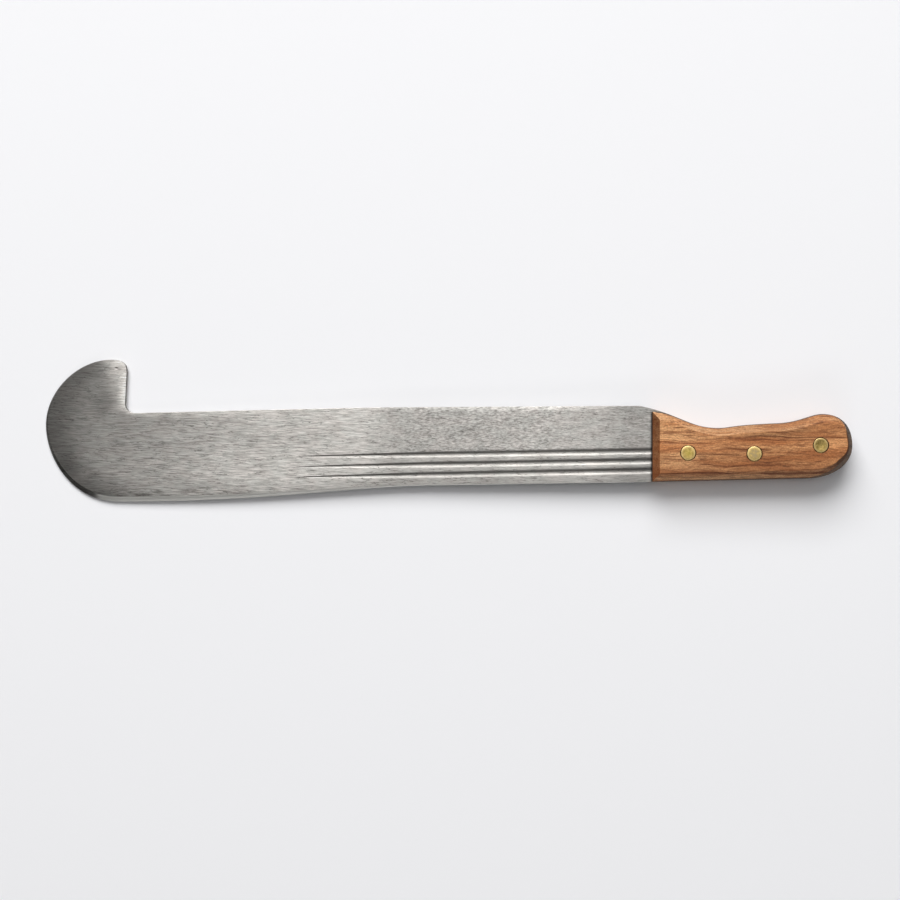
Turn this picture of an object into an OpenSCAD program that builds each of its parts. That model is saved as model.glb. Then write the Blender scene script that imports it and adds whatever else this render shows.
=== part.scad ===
// Hook-nosed machete with a full tang, two wooden scales and three two-part rivets.
// Everything is drawn with the rivet line along X at y = 0, the handle's front at x = 0,
// the butt towards +X, the spine towards +Y and the blade's middle plane at z = 0.
// The finished pieces are then laid down as the tool lies on a table.

/* [Blade] */
// Length from the front of the handle to the foremost point of the nose
blade_len = 406.8; // [350:0.1:480]
// Thickness of the steel, blade and tang alike
blade_t = 2.5; // [2:0.1:3.5]
// Height of the spine above the rivet line, just ahead of the handle
spine_rise = 31.6; // [30:0.1:36]
// Distance from the front of the handle to where the spine bends down
spine_bend_at = 190; // [120:5:230]
// How much lower the spine is at that bend
spine_bend_fall = 1; // [0:0.1:2]
// How much lower the spine is at the notch
spine_fall = 4.7; // [2:0.1:8]
// Length of the slope that leads the spine down to the handle
ricasso_len = 8; // [7.5:0.5:14]
// Depth of the edge below the rivet line at the handle
edge_drop = 19.3; // [18:0.1:23]
// Length of the straight edge ahead of the handle
neck_len = 141; // [110:1:170]
// How much lower the straight edge is at its far end
neck_fall = 1.7; // [0:0.1:5]

/* [Nose and hook] */
// Height of the foremost point above the rivet line
nose_rise = 19; // [12:0.1:23]
// Distance from the foremost point back to the lowest point of the belly
belly_back = 47; // [42:0.5:56]
// Depth of the belly below the rivet line
belly_drop = 33.8; // [28:0.1:38]
// Distance from the foremost point back to the crest of the hook
crest_back = 43; // [38:0.5:46]
// Height of the crest above the rivet line
crest_rise = 62.8; // [54:0.1:72]
// Roundness of the nose, from 0.4, nearly a corner cut off, to 0.6, nearly square
nose_round = 0.52; // [0.4:0.01:0.6]
// Width of the hook, from the foremost point back to its inner edge
hook_w = 54.8; // [52:0.1:62]
// How far the top of the inner edge leans back
hook_lean = 0.6; // [0:0.1:2.5]
// Height of the rounded tip of the hook
hook_tip_h = 8.5; // [6:0.5:12]
// Radius of the fillet in the notch
notch_r = 5; // [3:0.1:7]

/* [Grinding] */
// Width of the cutting bevel on the belly
belly_bevel_w = 3.2; // [2:0.1:4.5]
// Width of the bevel round the nose
nose_bevel_w = 1.9; // [1:0.1:2.8]
// Width of the bevel on the hook's inner edge
hook_bevel_w = 1.1; // [0.6:0.1:1.8]
// Width of the bevel on the straight edge, where the neck ends
neck_bevel_w = 0.75; // [0.4:0.05:1.5]
// Thickness left at the cutting edge
edge_t = 0.4; // [0.3:0.05:0.8]
// Chamfer that breaks the unground edges
edge_break = 0.3; // [0.2:0.05:0.5]

/* [Fullers] */
// Number of fullers on each face
fuller_n = 3; // [1:1:3]
// Width of a fuller
fuller_w = 4.2; // [3:0.1:4.4]
// Depth of a fuller
fuller_depth = 0.55; // [0.3:0.05:0.7]
// Distance from one fuller to the next
fuller_pitch = 6.5; // [5.6:0.1:6.8]
// Height of the first fuller above the rivet line, at the handle
fuller_rise = 0.9; // [-1:0.1:4]
// Length from the handle to where a fuller has run out
fuller_len = 238; // [200:1:260]
// Length over which a fuller runs out
fuller_runout = 88; // [40:1:110]
// Slope of the first fuller towards the edge, in degrees
fuller_slope = 0.8; // [0:0.05:1.6]
// How much more each next fuller slopes, in degrees
fuller_fan = 0.1; // [0:0.02:0.2]
// Length of fuller hidden under the scales
fuller_tuck = 6; // [2:0.5:10]

/* [Handle] */
// Length of the handle, from the front of the scales to the butt
handle_len = 133.3; // [128:0.1:150]
// Thickness of each scale
scale_t = 10.5; // [8:0.5:13]
// Width and depth of the chamfer round each scale
chamfer = 4.8; // [3:0.1:6]
// Width of that chamfer where it faces the butt
butt_chamfer = 2.9; // [2:0.1:5]
// How far the edge of the tang stands proud of the scales
tang_proud = 0.4; // [0.2:0.05:0.8]
// How far it stands proud at the butt
butt_proud = 1.6; // [0.4:0.1:2]
// Distance from the front of the handle to its waist
waist_at = 44; // [38:0.5:50]
// Height of the waist above the rivet line
waist_rise = 17.1; // [15:0.1:20]
// Distance from the front of the handle to where the back starts to climb
climb_at = 84.5; // [78:0.5:90]
// Height of the back there
climb_rise = 20.3; // [19:0.1:23]
// Distance from the butt forward to the top of the knob
knob_back = 20.3; // [17:0.1:24]
// Height of the knob above the rivet line
knob_rise = 26.4; // [25:0.1:30]
// Height of the rearmost point above the rivet line
butt_rise = 4.7; // [2:0.1:9]
// Distance from the butt forward to where the underside starts to curve up
heel_back = 31.5; // [27:0.5:38]
// Depth of the underside below the rivet line at that place
heel_drop = 17; // [16:0.1:20]
// Roundness of the butt above its rearmost point, in the way of the nose's
butt_round = 0.64; // [0.5:0.01:0.7]
// Roundness of the butt below its rearmost point
heel_round = 0.57; // [0.5:0.01:0.7]

/* [Rivets] */
// Distance from the front of the handle to the first rivet
rivet_first = 23.4; // [18:0.1:28]
// Distance from one rivet to the next
rivet_pitch = 43.8; // [38:0.1:45]
// Height of the rear rivet above the rivet line
rear_rivet_rise = 5.1; // [0:0.1:8]
// Diameter of the rivet heads
head_d = 10; // [8:0.25:11]
// Thickness of the rivet heads at the rim
head_t = 1.8; // [1.2:0.1:2.5]
// Height of the crown on the rivet heads
head_crown = 0.25; // [0.1:0.05:0.5]
// Outer diameter of the rivet sleeves
sleeve_d = 6; // [5.5:0.1:6.8]
// Diameter of the rivet pins
pin_d = 4; // [3:0.1:4.4]

/* [Fits] */
// Gap all round between a rivet head and its seat in the wood
seat_gap = 0.3; // [0.1:0.05:0.5]
// Gap all round between a sleeve and the holes that it passes through
hole_gap = 0.1; // [0.05:0.05:0.3]
// Gap all round between a pin and the bore of its sleeve
pin_gap = 0.02; // [0.01:0.01:0.08]
// How far the crown of a rivet head lies under the face of the wood
head_sink = 0.05; // [0.02:0.01:0.2]

/* [Hidden] */

steel = [0.62, 0.61, 0.59];
wood = [0.66, 0.42, 0.27];
brass = [0.72, 0.60, 0.33];

// Number of straight pieces in a quarter of the nose, in a long curve and in a short one
arc_steps = 20;
curve_steps = 14;
short_steps = 6;
round_fn = 96;
// Free length at the pin's end, free length at the sleeve's end, and the sleeve's solid bottom
pin_play = 0.5;
sleeve_play = 0.8;
sleeve_floor = 3;
// How far a cutter runs past what it cuts, and how far a shank runs into its head
past = 1;
merge = 0.5;
// A fuller's cutter runs on past its end by this share of the run-out
runout_spare = 0.5;

// How the curves set off from their ends, in millimetres along X and Y
knob_lead = [-6.8, 0];
climb_lead = [14, 0.8];
swell_lead = [-33, -1.2];
palm_lead = [8.4, 0];
shoulder_lead = [-18.7, 0];
ricasso_lead = [27.9, -5.4];
neck_lead = [-40, -1.6];
belly_lead = [24, 0];
// Share of the spine on each side that takes part in its bend, and roundness of the hook's tip
bend_share = 0.2;
hook_tip_round = 0.7;
// How far the bevels of the hook's inner edge and of the neck are taken, from 0 to 1
inner_keen = 0.75;
neck_keen = 0.9;

half_t = blade_t / 2;
grip_z = half_t + scale_t;
notch_x = hook_w - blade_len;
spine_end = spine_rise - spine_fall;
spine_bend_y = spine_rise - spine_bend_fall;
crest_x = crest_back - blade_len;
belly_x = belly_back - blade_len;
neck_end_drop = edge_drop + neck_fall;
hook_tip_y = crest_rise - hook_tip_h;
knob_at = handle_len - knob_back;
heel_at = handle_len - heel_back;
scale_lap = chamfer + past;
seat_depth = head_t + head_crown + head_sink;

// The tool lies on its nose and on the front of the back scale
nose_contact_x = nose_bevel_w - blade_len;
rest_tilt = atan((grip_z - half_t) / (chamfer - nose_contact_x));
rest_lift = chamfer * -sin(rest_tilt) + grip_z * cos(rest_tilt);
mid_x = (handle_len - blade_len) / 2 * cos(rest_tilt);
mid_y = (crest_rise - belly_drop) / 2;

// A grind is the width of the bevel and how far it is taken, from 0 to 1
dull = [edge_break, 0];
inner_grind = [hook_bevel_w, inner_keen];
nose_grind = [nose_bevel_w, 1];
belly_grind = [belly_bevel_w, 1];
neck_grind = [neck_bevel_w, neck_keen];

// A point of the outline holds its place and its grind
function at(x, y, grind) = [x, y, grind[0], grind[1]];

// The same point moved along X and Y
function lead(p, by) = p + [by.x, by.y, 0, 0];

function bezier(p, steps) = [
    for (i = [0:steps - 1])
        let (t = i / steps, u = 1 - t)
            u * u * u * p[0] + 3 * u * u * t * p[1] + 3 * u * t * t * p[2] + t * t * t * p[3]
];

function arc(centre, r, from, to, g_from, g_to, steps) = [
    for (i = [0:steps - 1])
        let (t = i / steps, a = from + (to - from) * t)
            at(centre.x + r * cos(a), centre.y + r * sin(a), g_from + (g_to - g_from) * t)
];

// A quarter turn from an upright start to a level end, or the other way round
function quarter(from, to, round, upright, steps) =
    let (d = (to - from) * round,
         a = upright ? [0, d.y, 0, 0] : [d.x, 0, 0, 0],
         b = upright ? [d.x, 0, 0, 0] : [0, d.y, 0, 0])
        bezier([from, from + a, to - b, to], steps);

function line(from, to, steps) = [for (i = [0:steps - 1]) from + (to - from) * i / steps];

// Both sides of the handle, from the butt to its front
butt = at(handle_len, butt_rise, dull);
knob = at(knob_at, knob_rise, dull);
climb = at(climb_at, climb_rise, dull);
waist = at(waist_at, waist_rise, dull);
ricasso = at(-ricasso_len, spine_rise, dull);
heel = at(heel_at, -heel_drop, dull);
front_low = at(0, -edge_drop, dull);

over_butt = quarter(butt, knob, butt_round, true, curve_steps);
knob_front = bezier([knob, lead(knob, knob_lead), lead(climb, climb_lead), climb],
                    short_steps);
palm_swell = bezier([climb, lead(climb, swell_lead), lead(waist, palm_lead), waist],
                    curve_steps);
shoulder = bezier([waist, lead(waist, shoulder_lead), lead(ricasso, ricasso_lead), ricasso],
                  curve_steps);
under_butt = quarter(butt, heel, heel_round, true, curve_steps);
underside = line(heel, front_low, short_steps);

handle_back = concat(over_butt, knob_front, palm_swell, shoulder);
handle_under = concat(under_butt, underside);

// The back of the blade: spine, notch, inner edge of the hook and its rounded tip
spine_bend = at(-spine_bend_at, spine_bend_y, dull);
spine_stop = at(notch_x + notch_r, spine_end, dull);
bend_start = spine_bend + (ricasso - spine_bend) * bend_share;
bend_stop = spine_bend + (spine_stop - spine_bend) * bend_share;
inner_low = at(notch_x, spine_end + notch_r, inner_grind);
inner_top = at(notch_x + hook_lean, hook_tip_y, inner_grind);
crest = at(crest_x, crest_rise, nose_grind);

spine = concat(
    line(ricasso, bend_start, short_steps),
    bezier([bend_start, spine_bend, spine_bend, bend_stop], short_steps),
    line(bend_stop, spine_stop, short_steps)
);
notch = arc([notch_x + notch_r, spine_end + notch_r], notch_r, 270, 180, dull, inner_grind,
            short_steps);
inner_edge = line(inner_low, inner_top, short_steps);
hook_tip = quarter(inner_top, crest, hook_tip_round, true, curve_steps);

// The edge of the blade: neck, belly and nose
neck_end = at(-neck_len, -neck_end_drop, neck_grind);
belly_low = at(belly_x, -belly_drop, belly_grind);
foremost = at(-blade_len, nose_rise, nose_grind);

neck = line(front_low, neck_end, short_steps);
belly = bezier([neck_end, lead(neck_end, neck_lead), lead(belly_low, belly_lead), belly_low],
               curve_steps);
lower_nose = quarter(belly_low, foremost, nose_round, false, arc_steps);
upper_nose = quarter(foremost, crest, nose_round, true, arc_steps);

blade_back = concat(spine, notch, inner_edge, hook_tip);
blade_under = concat(neck, belly, lower_nose, upper_nose);

// An outline goes from the butt along the back to its far end, and home along the underside
function outline(back, under) = concat(back, [for (j = [len(under) - 1:-1:1]) under[j]]);

steel_outline = outline(concat(handle_back, blade_back, [crest]),
                        concat(handle_under, blade_under));

// How far along the back and along the underside the pairs of points lie that face each other
steel_pairs = [
    [0, 1],
    [len(over_butt), len(under_butt)],
    [len(handle_back), len(handle_under)],
    [len(handle_back) + len(spine), len(handle_under) + len(neck) + len(belly)],
    [len(handle_back) + len(blade_back), len(handle_under) + len(blade_under) - 1]
];

// Left-hand normal of the edge from a to b, which points into the solid
function normal(a, b) = let (d = b - a) [-d.y, d.x] / norm([d.x, d.y]);

// Sum of the normals of the two edges that meet at point i of an outline
function bisector(p, i) = let (n = len(p))
    normal(p[(i + n - 1) % n], p[i]) + normal(p[i], p[(i + 1) % n]);

// The outline moved into the solid by w[i] at each point, mitred where two edges meet
function inset(p, w) = [
    for (i = [0:len(p) - 1])
        let (m = bisector(p, i))
            [p[i].x, p[i].y] + w[i] * 2 / (m * m) * m
];

// Triangles that fill an outline of n points between one pair of facing points and the next
function filling(from, to, n) =
    let (a = to[0] - from[0], b = to[1] - from[1])
        concat(
            [for (i = [0:a - 1])
                let (j = ceil(((2 * i + 1) * b / a - 1) / 2))
                    [from[0] + i, from[0] + i + 1, n - from[1] - j]],
            [for (j = [0:b - 1])
                let (i = floor(((2 * j + 1) * a / b - 1) / 2) + 1)
                    [n - from[1] - j - 1, n - from[1] - j, from[0] + i]]
        );

// A solid through rings of equally many points, listed from the lowest up
module through_rings(rings, pairs) {
    n = len(rings[0]);
    top = (len(rings) - 1) * n;
    cap = [for (k = [0:len(pairs) - 2]) each filling(pairs[k], pairs[k + 1], n)];
    polyhedron(
        points = [for (level = rings) each level],
        faces = concat(
            cap,
            [for (t = cap) [top + t[2], top + t[1], top + t[0]]],
            [for (k = [0:len(rings) - 2], i = [0:n - 1])
                let (a = k * n + i, b = k * n + (i + 1) % n)
                    each [[a, a + n, b + n], [a, b + n, b]]]
        ),
        convexity = 6
    );
}

// Ring of points, with one height for each
function ring(p, z) = [for (i = [0:len(p) - 1]) [p[i].x, p[i].y, z[i]]];

module steel_body() {
    bevel = [for (p = steel_outline) p[2]];
    rim = [for (p = steel_outline) (half_t - edge_break) * (1 - p[3]) + edge_t / 2 * p[3]];
    flat_z = [for (p = steel_outline) half_t];
    inner = inset(steel_outline, bevel);
    through_rings([
        ring(inner, -flat_z),
        ring(steel_outline, -rim),
        ring(steel_outline, rim),
        ring(inner, flat_z)
    ], steel_pairs);
}

// A fuller is cut by a round tool that lifts out of the steel at its far end
module fuller_cutter() {
    r = (fuller_w * fuller_w / 4 + fuller_depth * fuller_depth) / (2 * fuller_depth);
    full_len = fuller_tuck + fuller_len - fuller_runout;
    cutter_len = full_len + fuller_runout * (1 + runout_spare);
    translate([fuller_tuck, 0, half_t + r - fuller_depth])
        rotate([0, -90, 0])
            rotate_extrude($fn = round_fn)
                polygon([
                    [0, 0],
                    [r, 0],
                    [r, full_len],
                    [r - fuller_depth * (1 + runout_spare), cutter_len],
                    [0, cutter_len]
                ]);
}

module fullers() {
    for (side = [0, 1], i = [0:fuller_n - 1])
        mirror([0, 0, side])
            translate([0, fuller_rise - i * fuller_pitch, 0])
                rotate([0, 0, fuller_slope + i * fuller_fan])
                    fuller_cutter();
}

// Places of the rivets along the handle
rivet_places = [
    [rivet_first, 0],
    [rivet_first + rivet_pitch, 0],
    [rivet_first + 2 * rivet_pitch, rear_rivet_rise]
];

module at_rivets() {
    for (place = rivet_places)
        translate([place.x, place.y, 0])
            children();
}

module shank_hole() {
    cylinder(d = sleeve_d + 2 * hole_gap, h = 2 * grip_z + 2 * past, center = true,
             $fn = round_fn);
}

// Lays a piece down as the whole tool lies on a table, centred over the origin
module at_rest() {
    translate([-mid_x, -mid_y, rest_lift])
        rotate([0, -rest_tilt, 0])
            children();
}

module blade() {
    color(steel)
        at_rest()
            difference() {
                steel_body();
                fullers();
                at_rivets() shank_hole();
            }
}

// The scales follow the tang's outline, a little inside it, and run on past their front
scale_front = at(-scale_lap, -edge_drop, dull);
scale_outline = outline(concat(handle_back, [ricasso]),
                        concat(handle_under, [front_low, scale_front]));
scale_pairs = [
    [0, 1],
    [len(over_butt), len(under_butt)],
    [len(handle_back), len(handle_under) + 1]
];

// How far each point of the outline faces the butt, from 0 to 1
butt_share = [
    for (i = [0:len(scale_outline) - 1])
        let (m = bisector(scale_outline, i))
            max(0, -m.x / norm(m))
];
edge_inset = [for (share = butt_share) tang_proud + (butt_proud - tang_proud) * share];
chamfer_inset = [for (share = butt_share) chamfer + (butt_chamfer - chamfer) * share];
scale_edge = inset(scale_outline, edge_inset);
scale_crown = inset(scale_outline, edge_inset + chamfer_inset);

function level(z) = [for (p = scale_outline) z];

module scale_blank() {
    through_rings([
        ring(scale_edge, level(half_t)),
        ring(scale_edge, level(grip_z - chamfer)),
        ring(scale_crown, level(grip_z))
    ], scale_pairs);
}

// Square front of the scales, with the same chamfer as their sides
module front_cutter() {
    depth = ricasso_len + scale_lap;
    half_height = crest_rise;
    translate([-depth, -half_height, 0])
        cube([depth, 2 * half_height, grip_z + past]);
    translate([chamfer, 0, grip_z])
        rotate([0, -45, 0])
            translate([-depth, -half_height, 0])
                cube([2 * depth, 2 * half_height, depth]);
}

module wooden_scale() {
    color(wood)
        difference() {
            scale_blank();
            front_cutter();
            at_rivets() shank_hole();
            at_rivets()
                translate([0, 0, grip_z - seat_depth])
                    cylinder(d = head_d + 2 * seat_gap, h = seat_depth + past, $fn = round_fn);
        }
}

module front_scale() {
    at_rest() wooden_scale();
}

module back_scale() {
    at_rest() mirror([0, 0, 1]) wooden_scale();
}

// Profile of a head's crown, from its rim to its middle
crown_r = (head_d * head_d / 4 + head_crown * head_crown) / (2 * head_crown);
crown_profile = [
    for (i = [0:short_steps])
        let (x = head_d / 2 * (1 - i / short_steps))
            [x, head_t + head_crown - crown_r + sqrt(crown_r * crown_r - x * x)]
];

module head() {
    translate([0, 0, grip_z - seat_depth])
        rotate_extrude($fn = round_fn)
            polygon(concat([[0, 0], [head_d / 2, 0]], crown_profile));
}

// The pin's head lies in the front scale and the sleeve's head in the back scale
seat_z = grip_z - seat_depth;
sleeve_end = seat_z - sleeve_play;
bore_end = sleeve_floor - seat_z;
pin_end = bore_end + pin_play;

module pin_half(place) {
    color(brass)
        at_rest()
            translate([place.x, place.y, 0]) {
                head();
                translate([0, 0, pin_end])
                    cylinder(d = pin_d, h = seat_z + merge - pin_end, $fn = round_fn);
            }
}

module sleeve_half(place) {
    color(brass)
        at_rest()
            translate([place.x, place.y, 0])
                difference() {
                    union() {
                        mirror([0, 0, 1]) head();
                        translate([0, 0, -seat_z - merge])
                            cylinder(d = sleeve_d, h = sleeve_end + seat_z + merge,
                                     $fn = round_fn);
                    }
                    translate([0, 0, bore_end])
                        cylinder(d = pin_d + 2 * pin_gap, h = sleeve_end - bore_end + past,
                                 $fn = round_fn);
                }
}

module front_rivet_pin() {
    pin_half(rivet_places[0]);
}

module front_rivet_sleeve() {
    sleeve_half(rivet_places[0]);
}

module middle_rivet_pin() {
    pin_half(rivet_places[1]);
}

module middle_rivet_sleeve() {
    sleeve_half(rivet_places[1]);
}

module rear_rivet_pin() {
    pin_half(rivet_places[2]);
}

module rear_rivet_sleeve() {
    sleeve_half(rivet_places[2]);
}

blade();
front_scale();
back_scale();
front_rivet_pin();
front_rivet_sleeve();
middle_rivet_pin();
middle_rivet_sleeve();
rear_rivet_pin();
rear_rivet_sleeve();
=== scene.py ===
import math

import bpy
import numpy as np
from mathutils import Matrix, Vector
from mathutils.geometry import delaunay_2d_cdt


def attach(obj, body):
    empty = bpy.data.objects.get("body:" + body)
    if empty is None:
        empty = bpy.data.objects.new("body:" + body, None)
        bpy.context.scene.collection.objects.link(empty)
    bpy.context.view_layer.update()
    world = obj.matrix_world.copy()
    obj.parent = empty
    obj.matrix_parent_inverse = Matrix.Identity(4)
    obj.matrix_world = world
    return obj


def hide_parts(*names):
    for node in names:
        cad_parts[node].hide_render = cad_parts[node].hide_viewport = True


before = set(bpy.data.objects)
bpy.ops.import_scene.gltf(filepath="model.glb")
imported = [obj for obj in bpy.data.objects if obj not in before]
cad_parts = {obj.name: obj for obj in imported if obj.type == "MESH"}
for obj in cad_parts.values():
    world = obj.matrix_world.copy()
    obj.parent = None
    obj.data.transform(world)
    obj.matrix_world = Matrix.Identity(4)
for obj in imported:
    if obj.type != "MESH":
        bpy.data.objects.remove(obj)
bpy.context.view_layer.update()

# The blade is one forging of carbon steel, brushed along its length: a long flat blade with a
# square hook on its spine side, a ground edge and three fullers rolled into each face, and a full
# tang that the handle is riveted to.
mm = 0.001
blade_length = 406.8 * mm
steel_thickness = 2.5 * mm
half_steel = steel_thickness / 2

# Places on the blade's outline, in metres from the handle's front and from the line of the rivets
spine_height = 31.6 * mm
ricasso_x = -8 * mm
spine_bend = (-190 * mm, 30.6 * mm)
notch_x = -352.5 * mm
notch_y = 26.9 * mm
notch_radius = 6 * mm
hook_tip = (-351.4 * mm, 54.3 * mm)
crest = (-362.5 * mm, 62.8 * mm)
foremost = (-blade_length, 19 * mm)
belly_low = (-358 * mm, -32.6 * mm)
neck_end = (-141 * mm, -21.5 * mm)
front_low = (0.0, -19.3 * mm)

# Places on the tang's outline, which the handle follows
butt = (133.3 * mm, 4.7 * mm)
knob = (113 * mm, 26.05 * mm)
climb = (84.5 * mm, 19.95 * mm)
waist = (44 * mm, 16.75 * mm)
heel = (101.8 * mm, -17 * mm)

# How wide the outline is ground off, and half the thickness that a keen edge keeps
broken_edge = 0.2 * mm
belly_bevel = 3.5 * mm
foremost_bevel = 1.35 * mm
crest_bevel = 0.3 * mm
hook_bevel = 0.75 * mm
neck_bevel = 0.9 * mm
half_keen_edge = 0.12 * mm

# The fullers start just inside the handle, and run out well short of the nose
fuller_count = 3
fuller_width = 4.3 * mm
fuller_depth = 0.3 * mm
fuller_pitch = 6.5 * mm
fuller_height = 0.9 * mm
fuller_length = 238 * mm
fuller_runout = 88 * mm
fuller_slope = math.radians(0.8)
fuller_fan = math.radians(0.1)
fuller_tuck = 6 * mm
fuller_flare = 0.6

rivet_places = [(23.4 * mm, 0.0), (67.2 * mm, -0.5 * mm), (111 * mm, 5.1 * mm)]
shank_hole = 3.1 * mm
hole_sides = 48


# An outline point is its place, the width of the bevel there, and how keen it is ground
def point(place, bevel=broken_edge, keen=0.0):
    return np.array([place[0], place[1], bevel, keen])


# Each stretch of an outline leaves out its last point, where the next one starts
def straight(start, end, steps):
    t = np.arange(steps)[:, None] / steps
    return start + (end - start) * t


def curve(a, b, c, d, steps):
    t = np.arange(steps)[:, None] / steps
    u = 1 - t
    return u**3 * a + 3 * u * u * t * b + 3 * u * t * t * c + t**3 * d


def quarter_turn(start, end, roundness, steps):
    reach = (end - start) * roundness
    return curve(start, start + (0, reach[1], 0, 0), end - (reach[0], 0, 0, 0), end, steps)


def off(place, dx, dy):
    return place + np.array([dx * mm, dy * mm, 0, 0])


def fillet(centre, radius, start, end, first, last, steps):
    t = np.arange(steps)[:, None] / steps
    angle = np.radians(start + (end - start) * t)
    swing = np.hstack([radius * np.cos(angle), radius * np.sin(angle)])
    return np.hstack([np.array(centre) + swing, first + (last - first) * t])


p_butt, p_knob, p_climb, p_waist, p_heel = map(point, (butt, knob, climb, waist, heel))
p_ricasso = point((ricasso_x, spine_height))
p_front_low = point(front_low)
handle_back = np.vstack([
    quarter_turn(p_butt, p_knob, 0.64, 36),
    curve(p_knob, off(p_knob, -6.8, 0), off(p_climb, 14, 0.8), p_climb, 16),
    curve(p_climb, off(p_climb, -33, -1.2), off(p_waist, 8.4, 0), p_waist, 24),
    curve(p_waist, off(p_waist, -18.7, 0), off(p_ricasso, 27.9, -6.2), p_ricasso, 32),
])
handle_under = np.vstack([
    quarter_turn(p_butt, p_heel, 0.57, 36),
    straight(p_heel, p_front_low, 50),
])

bend_share = 0.2
hook_keenness = 0.75
neck_keenness = 0.9
p_bend = point(spine_bend)
p_spine_stop = point((notch_x + notch_radius, notch_y))
bend_from = p_bend + (p_ricasso - p_bend) * bend_share
bend_to = p_bend + (p_spine_stop - p_bend) * bend_share
p_inner_low = point((notch_x, notch_y + notch_radius), hook_bevel, hook_keenness)
p_hook_tip = point(hook_tip, hook_bevel, hook_keenness)
p_crest = point(crest, crest_bevel, 1)
p_foremost = point(foremost, foremost_bevel, 1)
p_belly = point(belly_low, belly_bevel, 1)
p_neck_end = point(neck_end, neck_bevel, neck_keenness)
blade_back = np.vstack([
    straight(p_ricasso, bend_from, 56),
    curve(bend_from, p_bend, p_bend, bend_to, 10),
    straight(bend_to, p_spine_stop, 50),
    fillet((notch_x + notch_radius, notch_y + notch_radius), notch_radius, 270, 180,
           p_spine_stop[2:], p_inner_low[2:], 12),
    straight(p_inner_low, p_hook_tip, 10),
    quarter_turn(p_hook_tip, p_crest, 0.7, 24),
])
blade_under = np.vstack([
    straight(p_front_low, p_neck_end, 56),
    curve(p_neck_end, off(p_neck_end, -56.6, -0.1), off(p_belly, 105.9, 0), p_belly, 80),
    curve(p_belly, off(p_belly, -31.2, 0), off(p_foremost, 0, -22.4), p_foremost, 64),
    curve(p_foremost, off(p_foremost, 0, 22.2), off(p_crest, -23.4, 0), p_crest, 64),
])
steel_outline = np.vstack([
    handle_back, blade_back, p_crest[None], blade_under[:0:-1], p_front_low[None],
    handle_under[:0:-1],
])


# A corner's normal is the sum of those of its two edges
def corner_normals(outline):
    edge = np.roll(outline[:, :2], -1, 0) - outline[:, :2]
    normal = np.stack([-edge[:, 1], edge[:, 0]], 1) / np.linalg.norm(edge, axis=1)[:, None]
    return normal + np.roll(normal, 1, 0)


def moved_in(outline, distance):
    corner = corner_normals(outline)
    reach = np.asarray(distance) * 2 / (corner**2).sum(1)
    return outline[:, :2] + corner * reach[:, None]


def lies_within(points, ring):
    x, y = points[:, 0][:, None], points[:, 1][:, None]
    x0, y0 = ring[:, 0], ring[:, 1]
    x1, y1 = np.roll(x0, -1), np.roll(y0, -1)
    crosses = (y0 > y) != (y1 > y)
    with np.errstate(divide="ignore", invalid="ignore"):
        at = x0 + (y - y0) / (y1 - y0) * (x1 - x0)
    return ((crosses & (x < at)).sum(1) % 2) == 1


def near_line(points, ring, reach):
    spots = np.vstack([ring, (ring + np.roll(ring, -1, 0)) / 2])
    close = np.zeros(len(points), bool)
    batch = 500
    for start in range(0, len(points), batch):
        part = points[start:start + batch]
        gap = np.linalg.norm(part[:, None] - spots[None], axis=2).min(1)
        close[start:start + batch] = gap < reach
    return close


def grid_within(ring, columns, rows, clear):
    """Points spread over a flat face, in from its ring, so that no triangle gets long."""
    grid_x, grid_y = np.meshgrid(np.arange(*columns) * mm, np.arange(*rows) * mm)
    grid = np.column_stack([grid_x.ravel(), grid_y.ravel()])
    return grid[lies_within(grid, ring) & ~near_line(grid, ring, clear)]


def clear_of(points, place, reach):
    return points[np.linalg.norm(points - np.array(place), axis=1) > reach]


def sheet_of(ring, holes, lines, loose):
    """Triangles between a ring and its holes, with an edge along each line. The points come first
    ring by ring, then line by line, then the loose ones."""
    groups = [ring, *holes, *lines, loose]
    starts = np.cumsum([0] + [len(g) for g in groups])
    points = np.vstack(groups)
    edges = []
    for k, group in enumerate(groups[:-1]):
        n, closed = len(group), k < 1 + len(holes)
        edges += [(starts[k] + i, starts[k] + (i + 1) % n) for i in range(n if closed else n - 1)]
    made = delaunay_2d_cdt([Vector(p) for p in points], edges, [], 0, 1e-9, True)
    source = np.array([ids[0] if ids else -1 for ids in made[3]])
    faces = np.array([[source[i] for i in f] for f in made[2] if len(f) == 3])
    faces = faces[(faces >= 0).all(1)]
    middle = points[faces].mean(1)
    keep = lies_within(middle, ring)
    for hole in holes:
        keep &= ~lies_within(middle, hole)
    faces = faces[keep]
    a, b, c = points[faces[:, 0]], points[faces[:, 1]], points[faces[:, 2]]
    area = (b[:, 0] - a[:, 0]) * (c[:, 1] - a[:, 1]) - (b[:, 1] - a[:, 1]) * (c[:, 0] - a[:, 0])
    faces[area < 0] = faces[area < 0][:, ::-1]
    return points, faces[np.abs(area) > 1e-14]


def round_hole(centre, radius):
    angle = -np.arange(hole_sides) * 2 * math.pi / hole_sides
    return np.stack([centre[0] + radius * np.cos(angle), centre[1] + radius * np.sin(angle)], 1)


def strip(upper, lower, n):
    """Faces between two rings of n points, which start at the numbers given."""
    i = np.arange(n)
    j = (i + 1) % n
    return [(lower + a, lower + b, upper + b, upper + a) for a, b in zip(i.tolist(), j.tolist())]


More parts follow.
